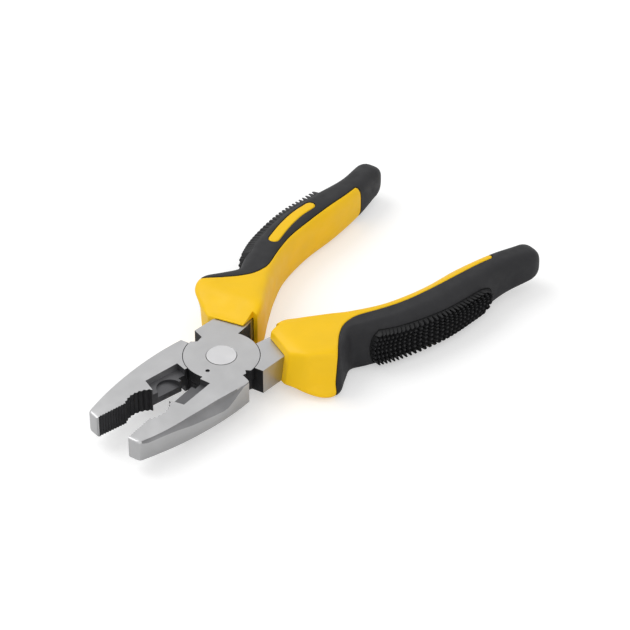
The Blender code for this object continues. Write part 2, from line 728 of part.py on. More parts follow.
def settle(pieces):
    """Stands the resting tool on the floor, its box centred over the origin."""
    bpy.context.view_layer.update()
    spots = [piece.matrix_world @ vert.co for piece in pieces for vert in piece.data.vertices]
    low = [min(spot[k] for spot in spots) for k in range(3)]
    high = [max(spot[k] for spot in spots) for k in range(3)]
    for piece in pieces:
        piece.location = (-(low[0] + high[0]) / 2, -(low[1] + high[1]) / 2, -low[2])


def main():
    for old in list(bpy.data.objects):
        bpy.data.objects.remove(old, do_unlink=True)
    pliers = bpy.data.collections.new("combination_pliers")
    bpy.context.scene.collection.children.link(pliers)
    steel = material("forged_steel", STEEL, 0.38, 1.0)
    rivet_steel = material("rivet_steel", RIVET_STEEL, 0.3, 1.0)
    yellow = material("yellow_grip", YELLOW, 0.35, 0.0)
    black = material("black_rubber", BLACK, 0.6, 0.0)
    forms = (("half", half_mesh(), steel), ("grip_core", core_mesh(), yellow),
             ("grip_cover", cover_mesh(), black), ("grip_spikes", spikes_mesh(), black))
    pieces = [place_piece("pivot_rivet", rivet_mesh(), rivet_steel, False,
                          -OPEN_ANGLE / 2, pliers)]
    for name, mesh, coating in forms:
        for level, turned, spread in (("upper_", False, 0.5), ("lower_", True, -0.5)):
            pieces.append(place_piece(level + name, mesh, coating, turned,
                                      spread * OPEN_ANGLE, pliers))
    settle(pieces)


main()
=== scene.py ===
"""Combination pliers with two-colour moulded grips, lying half open on a pale floor.

Sizes are in metres. The frame's pieces stay where the CAD puts them. New pieces are drawn as
the source draws them, with the tool closed, the joint's axis on Z at the origin and the handle
at -X and +Y, and are then opened and moved to the joint.
"""
import math

import bmesh
import bpy
from mathutils import Matrix, Vector

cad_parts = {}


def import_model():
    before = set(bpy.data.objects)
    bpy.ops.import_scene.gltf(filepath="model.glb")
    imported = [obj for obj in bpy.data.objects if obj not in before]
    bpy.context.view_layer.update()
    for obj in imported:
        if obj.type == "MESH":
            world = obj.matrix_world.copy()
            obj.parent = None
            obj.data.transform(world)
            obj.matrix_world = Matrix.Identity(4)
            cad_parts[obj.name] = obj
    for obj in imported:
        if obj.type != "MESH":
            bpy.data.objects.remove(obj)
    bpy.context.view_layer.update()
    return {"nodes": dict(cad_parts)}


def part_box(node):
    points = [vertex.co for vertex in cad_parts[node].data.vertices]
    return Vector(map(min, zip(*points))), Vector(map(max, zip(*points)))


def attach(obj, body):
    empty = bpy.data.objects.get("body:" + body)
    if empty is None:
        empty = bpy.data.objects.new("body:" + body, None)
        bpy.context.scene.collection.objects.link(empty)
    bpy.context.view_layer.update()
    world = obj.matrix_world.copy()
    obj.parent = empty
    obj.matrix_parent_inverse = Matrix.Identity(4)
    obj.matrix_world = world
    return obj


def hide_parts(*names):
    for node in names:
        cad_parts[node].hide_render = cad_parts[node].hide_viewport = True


OPEN_ANGLE = math.radians(15.8)
GAP = 0.0003

# Camera: where it stands about the joint's axis, at half the tool's height
IMAGE_SIZE = 630
CAMERA_AZIMUTH = math.radians(43.30)
CAMERA_HEIGHT_ANGLE = math.radians(37.85)
CAMERA_DISTANCE = 1.224
CAMERA_FOCAL_PIXELS = 3069.0
CAMERA_TARGET = (0.00436, 0.04861)
CAMERA_ROLL = math.radians(-0.176)
SENSOR_WIDTH = 0.036
NEAREST_SEEN = 0.05

# Angle from which an edge is shown sharp, and up to which faces count as one
SHARP_ANGLE = math.radians(28.0)
FLAT_ANGLE = math.radians(0.6)
WELD = 0.000002

# Jaw and joint
JOINT_RADIUS = 0.0150
SHOULDER_RADIUS = 0.0194
POCKET_WIDTH = 0.0062
POCKET_FRONT = 0.0322
THROAT_END = 0.0150
JAW_REACH = 0.0597
FLANK_START = (0.0062, -0.0584)
FLANK_END = (0.0182, -0.0066)
FLANK_BULGE = 0.0026
FLANK_ROUND = 0.0010
HOLLOW_START = 0.00005
HOLLOW_DEPTH = 0.0024
TIP_SWELL = 1.02
TIP_ROUND = 0.0012
TIP_ROUND_STEPS = 4
TIP_FRONT = 0.0006
TIP_INSIDE = 0.001
TIP_EDGE_ANGLE = math.radians(12.0)

# Where a half's dark faces lie, and how far a face's direction may lean; the pocket's and the
# hollow's darker steel is painted shade, and so is the near-black on the joint's and notch's walls
UPRIGHT = 0.5
HOLLOW_LEAN = 0.8
GRIPPING_LEAN = 0.3
GRIPPING_REACH = 0.0036
CHEEK_SKIN = 0.0006
SHOULDER_SKIN = 0.0008
LAP_SKIN = 0.001
NECK_START = 0.010

# Neck and tang; the places along the handle are measured from the neck's end
NECK_INSIDE = 0.0028
NECK_WIDTH = 0.0127
NECK_LENGTH = 0.0212
HEAD_THICKNESS = 0.0110
TANG_LENGTH = 0.1000
TANG_END_WIDTH = 0.0040
TANG_ROUTE = ((0.0101, 0.0048), (0.0120, 0.0108), (0.0160, 0.0239), (0.0190, 0.0316),
              (0.0234, 0.0453), (0.0251, 0.0640), (0.0237, 0.0825), (0.0227, 0.0978))

# Grip sleeve: inner edge, outer edge, heights over and under the middle, squareness and lobe;
# the heights are for the drawn sleeve, which the lower half carries turned over
GRIP_SECTIONS = (
    (0.0023, -0.0006, 0.0192, -0.0040, 0.0062, 0.0090, 10.0, 0.0),
    (0.0018, 0.0013, 0.0230, -0.0020, 0.0068, 0.0100, 10.0, 0.0001),
    (0.0015, 0.0040, 0.0263, 0.0003, 0.0082, 0.0106, 10.0, 0.0007),
    (0.0016, 0.0066, 0.0288, 0.0040, 0.0098, 0.0109, 10.0, 0.0028),
    (0.0021, 0.0091, 0.0313, 0.0078, 0.0108, 0.0110, 9.0, 0.0024),
    (0.0032, 0.0121, 0.0328, 0.0119, 0.0111, 0.0112, 7.0, 0.0007),
    (0.0058, 0.0170, 0.0295, 0.0174, 0.0111, 0.0117, 5.4, 0.0),
    (0.0092, 0.0239, 0.0256, 0.0238, 0.0109, 0.0116, 4.4, 0.0),
    (0.0128, 0.0322, 0.0281, 0.0309, 0.0107, 0.0113, 3.8, 0.0),
    (0.0175, 0.0464, 0.0320, 0.0443, 0.0104, 0.0112, 3.6, 0.0),
    (0.0189, 0.0642, 0.0339, 0.0642, 0.0100, 0.0109, 3.4, 0.0),
    (0.0175, 0.0830, 0.0322, 0.0826, 0.0092, 0.0102, 3.4, 0.0),
    (0.0178, 0.1008, 0.0297, 0.1005, 0.0077, 0.0092, 3.4, 0.0),
    (0.0191, 0.1142, 0.0307, 0.1139, 0.0065, 0.0082, 3.2, 0.0),
)
LOBE_FOOT = 0.0034
LOBE_CREST = 0.0080
GRIP_END = 0.0063
COLLAR_THICKNESS = 0.0220
MOUTH_LEAN = 0.15
LEAN_FADE = 5.0
MOUTH_NOTCH_WIDTH = 0.0039
MOUTH_NOTCH_REACH = 0.0046
SOCKET_FOOT = 0.0066
RING_POINTS = 96
FORM_POINTS = 40
CORNER_SPREAD = math.radians(81.0)
SECTION_STEPS = 8
END_STEPS = 8
FORM_END_SHARES = (0.4, 0.7, 0.9, 1.0)
END_FLAT = 0.45
TANG_STEPS = 4

# Rounded mouth: places counted in sections, and how far the outline is drawn in there
MOUTH_ROUND = ((0.0, 0.0005), (0.03, 0.00022), (0.08, 0.00006), (0.16, 0.0))

# Black cover over the yellow core
COVER_WALL = 0.0024
CAP_START = 11.97
SEAM_ROUTE = ((0.0360, 0.0088), (0.0314, 0.0106), (0.0252, 0.0156), (0.0211, 0.0198),
              (0.0186, 0.0236), (0.0174, 0.0278), (0.0175, 0.0327), (0.0202, 0.0430),
              (0.0220, 0.0538), (0.0222, 0.0668), (0.0214, 0.0838), (0.0210, 0.0923),
              (0.0211, 0.1005))
SEAM_SLANT = 0.15
SEAM_STEPS = 4
SEAM_CORNER = 0.0016
SEAM_CORNER_STEPS = 5
SEAM_TAIL = 0.8
ZONE_REACH = 6
FILE_ROW = 0.002
SHORTEST_CUT = 0.00001
SLIVER = 0.00003
WINDOW_ROUTE = ((0.0244, 0.0476), (0.0262, 0.0573), (0.0270, 0.0670), (0.0264, 0.0754))
WINDOW_WIDTH = 0.0044
WINDOW_DEPTH = 0.0040
WINDOW_LEVEL = 0.004
WINDOW_STEPS = 6
WINDOW_END_STEPS = 12

# Rounded shoulders of the grooves where the two shots meet
GROOVE_REACH = 0.0007
GROOVE_DEPTH = 0.00045
GROOVE_WELD = 0.00002
GROOVE_CUTS = (-1.0, -0.5, -0.1, 0.1, 0.5, 1.0)

# Spike field on the cover's outer side
FIELD_START = 8.0
FIELD_END = 11.5
FIELD_HEIGHT = 0.0154
FIELD_END_HEIGHT = 0.0096
FIELD_EDGE = 0.0096
FIELD_END_EDGE = 0.008064
FIELD_ROUND = 0.5
FIELD_ROUND_SHARE = 0.95
FIELD_BACKING = 0.0008
SPIKE_HEIGHT = 0.0025
SPIKE_CROWN = 0.9
SPIKE_COLUMNS = 27
SPIKE_ROWS = 8
SPIKE_GAP = 0.0002
SPIKE_TAPER = 0.00065

# Finishes: colour, roughness, metallic value, change of colour, scale and depth of the grain,
# and if fine lines run over it
FINISHES = {
    "ground_steel": ((0.475, 0.475, 0.48, 1.0), 0.36, 1.0, 0.05, 2600.0, 0.000012, True),
    # near-black steel: painted shade on the joint's and notch's walls, and the dark of the
    # gripping faces and neck sides
    "black_steel_and_shade": ((0.03, 0.03, 0.032, 1.0), 0.5, 0.6, 0.3, 1800.0, 0.00003, False),
    # darker steel for the cutter pocket: painted shade in the recess
    "pocket_shade_steel": ((0.13, 0.13, 0.135, 1.0), 0.45, 1.0, 0.1, 2600.0, 0.000012, False),
    # darker steel for the long hollow in the jaw's flank: painted shade
    "forged_steel": ((0.235, 0.235, 0.24, 1.0), 0.42, 1.0, 0.12, 2000.0, 0.00002, False),
    "rivet_steel": ((0.63, 0.63, 0.64, 1.0), 0.38, 1.0, 0.03, 2600.0, 0.000003, False),
    "yellow_grip": ((0.95, 0.575, 0.001, 1.0), 0.42, 0.0, 0.03, 1500.0, 0.00001, False),
    "black_rubber": ((0.016, 0.016, 0.018, 1.0), 0.55, 0.0, 0.15, 2400.0, 0.00003, False),
    # spikes a little darker than the cover: painted shade between the spikes
    "spike_shade_rubber": ((0.014, 0.014, 0.015, 1.0), 0.5, 0.0, 0.15, 2400.0, 0.00002, False),
}
HALF_FINISHES = ("ground_steel", "black_steel_and_shade", "pocket_shade_steel", "forged_steel")
SHEEN = 0.3
GLOSS_UNDER = 0.06
GLOSS_OVER = 0.08
GRAIN_DETAIL = 3.0
LINE_DEPTH = 0.000004
LINE_STRETCH = (1.0, 14.0, 14.0)

# Scale and detail of the noises for the colour, the gloss and the fine lines
PATCH_NOISE = (90.0, 5.0)
GLOSS_NOISE = (260.0, 4.0)
LINE_NOISE = (300.0, 4.0)
NOISE_LOW = 0.3
NOISE_HIGH = 0.7

# Lamps: place, width and power; the world's level for all but the camera and reflections
KEY_LAMP = ((-0.9, -0.3, 1.4), 1.3, 10.0)
FILL_LAMP = ((1.2, -0.9, 0.9), 2.6, 8.0)
AMBIENT = 0.62

# Floor, and the share of its own light that the camera sees on it
FLOOR = (0.95, 0.95, 0.95, 1.0)
FLOOR_REACH = 3.0
FLOOR_ROUGHNESS = 0.8
FLOOR_GLOW = 1.75
FLOOR_SHARE = 0.25


def mix(a, b, share):
    return a + (b - a) * share


def eased(share):
    """Goes from 0 to 1 with the share, level at both ends."""
    share = min(max(share, 0.0), 1.0)
    return share * share * (3 - 2 * share)


def new_object(name, mesh):
    made = bpy.data.objects.new(name, mesh)
    bpy.context.scene.collection.objects.link(made)
    return made


def mesh_from(bm, name):
    mesh = bpy.data.meshes.new(name)
    bm.to_mesh(mesh)
    bm.free()
    return mesh


def smooth_at(rows, place):
    """Reads a smooth curve through the rows of numbers at a place counted in rows."""
    place = min(max(place, 0.0), len(rows) - 1.0)
    k = min(int(place), len(rows) - 2)
    t = place - k
    b, c = rows[k], rows[k + 1]
    a = rows[k - 1] if k > 0 else [2 * p - q for p, q in zip(b, c)]
    d = rows[k + 2] if k + 2 < len(rows) else [2 * q - p for p, q in zip(b, c)]
    return [0.5 * (2 * q + (r - p) * t + (2 * p - 5 * q + 4 * r - s) * t * t
                   + (3 * q - p - 3 * r + s) * t ** 3) for p, q, r, s in zip(a, b, c, d)]


def smooth_route(points, steps):
    count = (len(points) - 1) * steps
    return [Vector(smooth_at(points, k / steps)) for k in range(count + 1)]


def past_neck(points):
    return [(point[0], point[1] + NECK_LENGTH) for point in points]


def offset_route(route, distance):
    """The route moved sideways, to its right where the distance is positive."""
    moved = []
    for k, point in enumerate(route):
        along = route[min(k + 1, len(route) - 1)] - route[max(k - 1, 0)]
        moved.append(point + Vector((along.y, -along.x)).normalized() * distance)
    return moved


def mirrored(points):
    """Handle points drawn outwards, put on the handle's side at -X."""
    return [(-point[0], point[1]) for point in points]


def welded_mesh(piece):
    """The piece's mesh with its modifiers and place in it, and its doubles merged."""
    graph = bpy.context.evaluated_depsgraph_get()
    mesh = bpy.data.meshes.new_from_object(piece.evaluated_get(graph))
    mesh.transform(piece.matrix_world)
    bm = bmesh.new()
    bm.from_mesh(mesh)
    bmesh.ops.remove_doubles(bm, verts=bm.verts, dist=WELD)
    bm.to_mesh(mesh)
    bm.free()
    return mesh


def prism(name, outline, low, high):
    """A flat outline filled and drawn up from the height low to the height high."""
    curve = bpy.data.curves.new(name, "CURVE")
    curve.dimensions = "2D"
    curve.fill_mode = "BOTH"
    curve.extrude = (high - low) / 2
    spline = curve.splines.new("POLY")
    spline.points.add(len(outline) - 1)
    for point, (x, y) in zip(spline.points, outline):
        point.co = (x, y, 0.0, 1.0)
    spline.use_cyclic_u = True
    drawn = new_object(name + "_outline", curve)
    drawn.location.z = (low + high) / 2
    bpy.context.view_layer.update()
    made = new_object(name, welded_mesh(drawn))
    bpy.data.objects.remove(drawn)
    return made


def block(name, low, high):
    bm = bmesh.new()
    bmesh.ops.create_cube(bm, size=1.0)
    bmesh.ops.scale(bm, verts=bm.verts, vec=[b - a for a, b in zip(low, high)])
    bmesh.ops.translate(bm, verts=bm.verts, vec=[(a + b) / 2 for a, b in zip(low, high)])
    return new_object(name, mesh_from(bm, name))


def combine(piece, other, operation):
    """Cuts, joins or intersects the piece with the other, which is used up."""
    modifier = piece.modifiers.new(operation.lower(), "BOOLEAN")
    modifier.operation = operation
    modifier.solver = "EXACT"
    modifier.object = other
    bpy.context.view_layer.update()
    mesh = welded_mesh(piece)
    piece.modifiers.clear()
    old = piece.data
    piece.data = mesh
    bpy.data.meshes.remove(old)
    bpy.data.objects.remove(other)


def take_mesh(piece):
    mesh = piece.data
    bpy.data.objects.remove(piece)
    return mesh


def grip_section(place, inset):
    """The sleeve's middle, half width as a vector, heights over and under it and its shape."""
    row = smooth_at(GRIP_SECTIONS, place)
    inner, outer = [Vector(spot) for spot in past_neck((row[0:2], row[2:4]))]
    across = (outer - inner) / 2
    across -= across.normalized() * inset
    return (inner + outer) / 2, across, (row[4] - inset, row[5] - inset), row[6:]


def rim_directions(count):
    """Directions round a section, set closer together towards its four corners."""
    directions = []
    for k in range(count):
        side, step = divmod(k, count // 4)
        angle = (2 * (step + 0.5) / (count // 4) - 1) * CORNER_SPREAD
        along = math.sin(angle) / math.sin(CORNER_SPREAD)
        directions.append(Matrix.Rotation(side * math.pi / 2, 2) @ Vector((1.0, along)))
    return directions


def grip_ring(directions, place, inset, inner_reach=0.0, shrink=1.0, ahead=0.0):
    """One closed ring of points round the tang, a box with rounded corners and a lobe."""
    middle, across, heights, (power, lobe) = grip_section(place, inset)
    forward = Vector((-across.y, across.x)).normalized()
    inward = across + across.normalized() * inner_reach
    lean = MOUTH_LEAN * max(1 - place / LEAN_FADE, 0.0)
    highest = COLLAR_THICKNESS / 2 - inset
    ring = []
    for way in directions:
        height = heights[0 if way.y > 0 else 1]
        rim = (abs(way.x) ** power + abs(way.y) ** power) ** (-1 / power)
        side, up = way.x * rim, way.y * rim
        height = up * height * shrink
        reach = across if side > 0 else inward
        spot = middle + reach * side * shrink + forward * (ahead - lean * height)
        swell = eased((height - LOBE_FOOT) / (LOBE_CREST - LOBE_FOOT))
        spot += across.normalized() * lobe * swell * max(side, 0.0) ** 2
        ring.append((-spot.x, spot.y, min(max(height, -highest), highest)))
    return ring


def sleeve_rings(count):
    """The rings of the sleeve's outside, with a rounded mouth and a rounded end."""
    directions = rim_directions(count)
    rings = [grip_ring(directions, place, inset) for place, inset in MOUTH_ROUND]
    last = len(GRIP_SECTIONS) - 1
    first = math.ceil(MOUTH_ROUND[-1][0] * SECTION_STEPS + 0.5)
    for k in range(first, last * SECTION_STEPS + 1):
        rings.append(grip_ring(directions, k / SECTION_STEPS, 0.0))
    for step in range(1, END_STEPS + 1):
        angle = step / END_STEPS * math.pi / 2
        rings.append(grip_ring(directions, last, 0.0, 0.0, mix(END_FLAT, 1.0, math.cos(angle)),
                               GRIP_END * math.sin(angle)))
    return rings


def core_rings(count, inset, clearance):
    """The rings of the core's outside where the cover lies over it."""
    directions = rim_directions(count)
    last = len(GRIP_SECTIONS) - 1
    places = [k / 2 for k in range(last * 2 + 1)]
    bare = 2 * COVER_WALL
    stations = [(place, bare, 1.0, 0.0) for place in places if place < CAP_START]
    stations.append((CAP_START, bare, 1.0, clearance))
    stations.append((CAP_START, 0.0, 1.0, clearance + GAP / 3))
    stations += [(place, 0.0, 1.0, 0.0) for place in places if place > CAP_START]
    for share in FORM_END_SHARES:
        angle = share * math.pi / 2
        stations.append((last, 0.0, mix(END_FLAT, 1.0, math.cos(angle)),
                         (GRIP_END - inset) * math.sin(angle)))
    return [grip_ring(directions, place, inset, reach, shrink, ahead)
            for place, reach, shrink, ahead in stations]


def skin_over(rings):
    """A closed skin, a circle drawn out ring by ring and filled at both ends."""
    bm = bmesh.new()
    bmesh.ops.create_circle(bm, segments=len(rings[0]), radius=1.0)
    slots = bm.verts.layers.int.new("slot")
    bm.verts.ensure_lookup_table()
    for k, vert in enumerate(bm.verts):
        vert[slots] = k
        vert.co = rings[0][k]
    start = bm.edges[:]
    edges = start
    for ring in rings[1:]:
        made = bmesh.ops.extrude_edge_only(bm, edges=edges)["geom"]
        moved = {item for item in made if isinstance(item, bmesh.types.BMVert)}
        for vert in moved:
            vert.co = ring[vert[slots]]
        edges = [item for item in made if isinstance(item, bmesh.types.BMEdge)
                 and item.verts[0] in moved and item.verts[1] in moved]
    bmesh.ops.contextual_create(bm, geom=start)
    bmesh.ops.contextual_create(bm, geom=edges)
    bmesh.ops.recalc_face_normals(bm, faces=bm.faces)
    return bm


def seam_line():
    """The line where the two shots meet, from the collar's outer side to the grip's inner edge."""
    seam = smooth_route(past_neck(SEAM_ROUTE), SEAM_STEPS)
    corner = seam[-1] - Vector((0.0, GAP))
    line = [point for point in seam if (corner - point).length > SEAM_CORNER]
    for step in range(SEAM_CORNER_STEPS + 1):
        angle = step / SEAM_CORNER_STEPS * math.pi / 2
        line.append(corner + Vector((math.cos(angle) - 1, math.sin(angle) - 1)) * SEAM_CORNER)
    line.append(Vector((line[-1].x * SEAM_TAIL, corner.y)))
    line.append(Vector((0.0, corner.y)))
    return line


def window_line(clearance=0.0):
    """The window's outline seen from above, round at both ends."""
    half = WINDOW_WIDTH / 2 + clearance
    route = smooth_route(past_neck(WINDOW_ROUTE), WINDOW_STEPS)
    outline = offset_route(route, half)
    for end, forward in ((route[-1], route[-1] - route[-2]), (route[0], route[0] - route[1])):
        forward = forward.normalized()
        sideways = Vector((forward.y, -forward.x))
        for step in range(1, WINDOW_END_STEPS):
            angle = math.pi * step / WINDOW_END_STEPS
            outline.append(end + (sideways * math.cos(angle) + forward * math.sin(angle)) * half)
        if end == route[-1]:
            outline += offset_route(route, -half)[::-1]
    return outline


def crosses(face, start, along, length):
    """Says if a face, seen from above, reaches over the line's stretch."""
    sides = []
    places = []
    for vert in face.verts:
        x = -vert.co.x - start.x
        y = vert.co.y - start.y
        sides.append(x * along.y - y * along.x)
        places.append(x * along.x + y * along.y)
    return min(sides) < 0 < max(sides) and max(places) > 0 and min(places) < length


def cut_along(bm, route, above):
    """Cuts the skin's edges along a route seen from above, above a height."""
    rows = {}

    def file_away(faces):
        for face in faces:
            centre = face.calc_center_median()
            if centre.z > above:
                rows.setdefault(round(centre.y / FILE_ROW), []).append(face)

    file_away(bm.faces)
    for start, end in zip(route, route[1:]):
        along = end - start
        length = along.length
        if length < SHORTEST_CUT:
            continue
        along /= length
        first = round(min(start.y, end.y) / FILE_ROW) - 1
        last = round(max(start.y, end.y) / FILE_ROW) + 1
        chosen = {face for row in range(first, last + 1) for face in rows.get(row, ())
                  if face.is_valid and crosses(face, start, along, length)}
        geom = set(chosen)
        for face in chosen:
            geom.update(face.edges)
            geom.update(face.verts)
        cut = bmesh.ops.bisect_plane(bm, geom=list(geom), dist=WELD,
                                     plane_co=(-start.x, start.y, 0.0),
                                     plane_no=(along.y, along.x, 0.0))
        file_away([item for item in cut["geom"] if isinstance(item, bmesh.types.BMFace)])


def route_distance(x, y, route):
    """The shortest way from a place to a route, both seen from above."""
    best = 1.0
    for start, end in zip(route, route[1:]):
        ax, ay = end.x - start.x, end.y - start.y
        square = ax * ax + ay * ay
        if square == 0.0:
            continue
        share = min(max(((x - start.x) * ax + (y - start.y) * ay) / square, 0.0), 1.0)
        best = min(best, math.hypot(x - start.x - ax * share, y - start.y - ay * share))
    return best


def groove_along(bm, route, above=-1.0):
    """Lets the skin dip along a route with round shoulders, where the two shots meet."""
    for share in GROOVE_CUTS:
        cut_along(bm, offset_route(route, GROOVE_REACH * share), above)
    bmesh.ops.remove_doubles(bm, verts=bm.verts, dist=GROOVE_WELD)
    low = min(point.y for point in route) - GROOVE_REACH
    high = max(point.y for point in route) + GROOVE_REACH
    dips = bm.verts.layers.float["dip"]
    for vert in bm.verts:
        if vert.co.z < above or not low < vert.co.y < high:
            continue
        share = route_distance(-vert.co.x, vert.co.y, route) / GROOVE_REACH
        if share < 1.0:
            dip = GROOVE_DEPTH * (1 - math.sqrt(1 - (1 - share) ** 2))
            vert[dips] = max(vert[dips], dip)


def sleeve_mesh():
    """The whole sleeve's outside, with the grooves along its seam and round its window."""
    bm = skin_over(sleeve_rings(RING_POINTS))
    bm.verts.layers.float.new("dip")
    slant = Matrix.Identity(4)
    slant[0][2] = SEAM_SLANT
    bmesh.ops.transform(bm, matrix=slant.inverted(), verts=bm.verts)
    groove_along(bm, seam_line())
    bmesh.ops.transform(bm, matrix=slant, verts=bm.verts)
    window = window_line()
    groove_along(bm, window + window[:2], above=WINDOW_LEVEL)
    bmesh.ops.remove_doubles(bm, verts=bm.verts, dist=SLIVER)
    bmesh.ops.dissolve_degenerate(bm, dist=SLIVER, edges=bm.edges)
    bmesh.ops.triangulate(bm, faces=[face for face in bm.faces if len(face.verts) > 4])
    bm.normal_update()
    dips = bm.verts.layers.float["dip"]
    for vert, normal in [(vert, vert.normal.copy()) for vert in bm.verts]:
        vert.co -= normal * vert[dips]
    return mesh_from(bm, "sleeve")


def socket():
    """The room for the tang in the core, open at the mouth."""
    start = (NECK_INSIDE + NECK_WIDTH / 2, NECK_LENGTH)
    route = smooth_route([start] + past_neck(TANG_ROUTE), TANG_STEPS)
    inner, outer = [], []
    run = 0.0
    previous = route[0]
    for k, point in enumerate(route):
        run += (point - previous).length
        previous = point
        if run > TANG_LENGTH:
            break
        along = (route[min(k + 1, len(route) - 1)] - route[max(k - 1, 0)]).normalized()
        outward = Vector((along.y, -along.x))
        half = mix(NECK_WIDTH, TANG_END_WIDTH, run / TANG_LENGTH) / 2 + GAP
        point = point + along * GAP * run / TANG_LENGTH
        inner.append(point - outward * half)
        outer.append(point + outward * half)
    inner[0] = Vector((NECK_INSIDE - GAP, NECK_LENGTH))
    outer[0] = Vector((NECK_INSIDE + NECK_WIDTH + GAP, NECK_LENGTH))
    outline = [(inner[0].x, SOCKET_FOOT)] + inner + outer[::-1] + [(outer[0].x, SOCKET_FOOT)]
    half = HEAD_THICKNESS / 2 + GAP
    return prism("socket", mirrored(outline), -half, half)


def cover_zone(clearance):
    """All the space that the black cover may fill, less its clearance to the yellow core."""
    line = offset_route(seam_line(), clearance)
    far = line[-1].y + GRIP_END * ZONE_REACH
    outline = [(far, line[0].y)] + [tuple(point) for point in line[:-2]]
    outline += [(-far, line[-1].y), (-far, far), (far, far)]
    zone = prism("zone", mirrored(outline), -COLLAR_THICKNESS, COLLAR_THICKNESS)
    slant = Matrix.Identity(4)
    slant[0][2] = SEAM_SLANT
    zone.data.transform(slant)
    form = new_object("form", mesh_from(skin_over(
        core_rings(FORM_POINTS, COVER_WALL - clearance, clearance)), "form"))
    combine(zone, form, "DIFFERENCE")
    low = COLLAR_THICKNESS / 2 - WINDOW_DEPTH - clearance
    bar = prism("bar", mirrored(window_line(clearance)), low, COLLAR_THICKNESS * 1.5)
    combine(zone, bar, "DIFFERENCE")
    return zone


def core_mesh(sleeve):
    """The yellow core: the sleeve less the space of its black cover and the tang's room."""
    piece = new_object("core", sleeve.copy())
    combine(piece, cover_zone(SLIVER / 2), "DIFFERENCE")
    combine(piece, socket(), "DIFFERENCE")
    over = COLLAR_THICKNESS
    reach = NECK_LENGTH + MOUTH_NOTCH_REACH
    notch = block("notch", (-MOUTH_NOTCH_WIDTH, 0.0, -over), (over, reach, over))
    combine(piece, notch, "DIFFERENCE")
    return take_mesh(piece)


def cover_mesh(sleeve):
    """The black cover: the rest of the sleeve, with a bed for the spike field."""
    piece = new_object("cover", sleeve.copy())
    combine(piece, cover_zone(GAP), "INTERSECT")
    combine(piece, field_slab("bed", -FIELD_BACKING - GAP, SPIKE_HEIGHT, GAP), "DIFFERENCE")
    return take_mesh(piece)


def field_point(share, rise, lift, margin):
    """A point by the cover's outer side, a share of the way along the field and at a rise."""
    half = mix(FIELD_HEIGHT, FIELD_END_HEIGHT, share) / 2 + margin
    if rise > 0:
        half = mix(FIELD_EDGE, FIELD_END_EDGE, share) + margin
    ends = FIELD_ROUND * (1 - math.sqrt(max(1 - (FIELD_ROUND_SHARE * rise) ** 2, 0.0)))
    place = mix(FIELD_START + ends, FIELD_END - ends, share)
    middle, across, heights, (power, _) = grip_section(place, 0.0)
    height = heights[0 if rise > 0 else 1]
    reach = (1 - (abs(rise) * half / height) ** power) ** (1 / power)
    spot = middle + across * reach + across.normalized() * lift
    forward = Vector((-across.y, across.x)).normalized()
    spot += forward * margin * (2 * share - 1)
    return -spot.x, spot.y, rise * half


def field_slab(name, low, high, margin):
    """A slice with round ends laid on the cover's outer side, between two heights over it."""
    bm = bmesh.new()
    bmesh.ops.create_grid(bm, x_segments=SPIKE_COLUMNS, y_segments=SPIKE_ROWS, size=1.0)
    skin = bmesh.ops.extrude_face_region(bm, geom=bm.faces[:])
    raised = {item for item in skin["geom"] if isinstance(item, bmesh.types.BMVert)}
    for vert in bm.verts:
        lift = high if vert in raised else low
        vert.co = field_point((vert.co.x + 1) / 2, vert.co.y, lift, margin)
    bmesh.ops.recalc_face_normals(bm, faces=bm.faces)
    return new_object(name, mesh_from(bm, name))


def spikes_mesh():
    """The field of short four-sided spikes on its slice of backing."""
    bm = bmesh.new()
    bmesh.ops.create_grid(bm, x_segments=SPIKE_COLUMNS, y_segments=SPIKE_ROWS, size=1.0)
    start, end = [Vector(GRIP_SECTIONS[int(row)][2:4]) for row in (FIELD_START, FIELD_END)]
    length = (end - start).length
    bmesh.ops.scale(bm, verts=bm.verts, vec=(length / 2, FIELD_HEIGHT / 2, 1.0))
    tops = bm.faces[:]
    skin = bmesh.ops.extrude_face_region(bm, geom=tops, use_keep_orig=True)
    base = [item for item in skin["geom"] if isinstance(item, bmesh.types.BMVert)]
    bmesh.ops.translate(bm, verts=base, vec=(0.0, 0.0, -FIELD_BACKING))
    bmesh.ops.inset_individual(bm, faces=tops, thickness=SPIKE_GAP)
    bmesh.ops.inset_individual(bm, faces=tops, thickness=SPIKE_TAPER)
    crowns = list({vert for face in tops for vert in face.verts})
    bmesh.ops.translate(bm, verts=crowns, vec=(0.0, 0.0, SPIKE_HEIGHT * SPIKE_CROWN))
    points = bmesh.ops.poke(bm, faces=tops, center_mode="MEAN_WEIGHTED")["verts"]
    bmesh.ops.translate(bm, verts=points, vec=(0.0, 0.0, SPIKE_HEIGHT * (1 - SPIKE_CROWN)))
    for vert in bm.verts:
        share = vert.co.x / length + 0.5
        vert.co = field_point(share, vert.co.y * 2 / FIELD_HEIGHT, vert.co.z, 0.0)
    bmesh.ops.recalc_face_normals(bm, faces=bm.faces)
    return mesh_from(bm, "spikes")


def plain_material(name, color, roughness, metallic):
    made = bpy.data.materials.new(name)
    made.use_nodes = True
    shader = made.node_tree.nodes["Principled BSDF"]
    shader.inputs["Base Color"].default_value = color
    shader.inputs["Roughness"].default_value = roughness
    shader.inputs["Metallic"].default_value = metallic
    shader.inputs["Specular IOR Level"].default_value = SHEEN
    return made


def noise(tree, size, stretch=(1.0, 1.0, 1.0)):
    """A noise over the piece's own coordinates, drawn out along the axes by the stretch."""
    place = tree.nodes.new("ShaderNodeTexCoord")
    mapping = tree.nodes.new("ShaderNodeMapping")
    mapping.inputs["Scale"].default_value = stretch
    made = tree.nodes.new("ShaderNodeTexNoise")
    made.inputs["Scale"].default_value, made.inputs["Detail"].default_value = size
    tree.links.new(place.outputs["Object"], mapping.inputs["Vector"])
    tree.links.new(mapping.outputs["Vector"], made.inputs["Vector"])
    return made.outputs["Fac"]


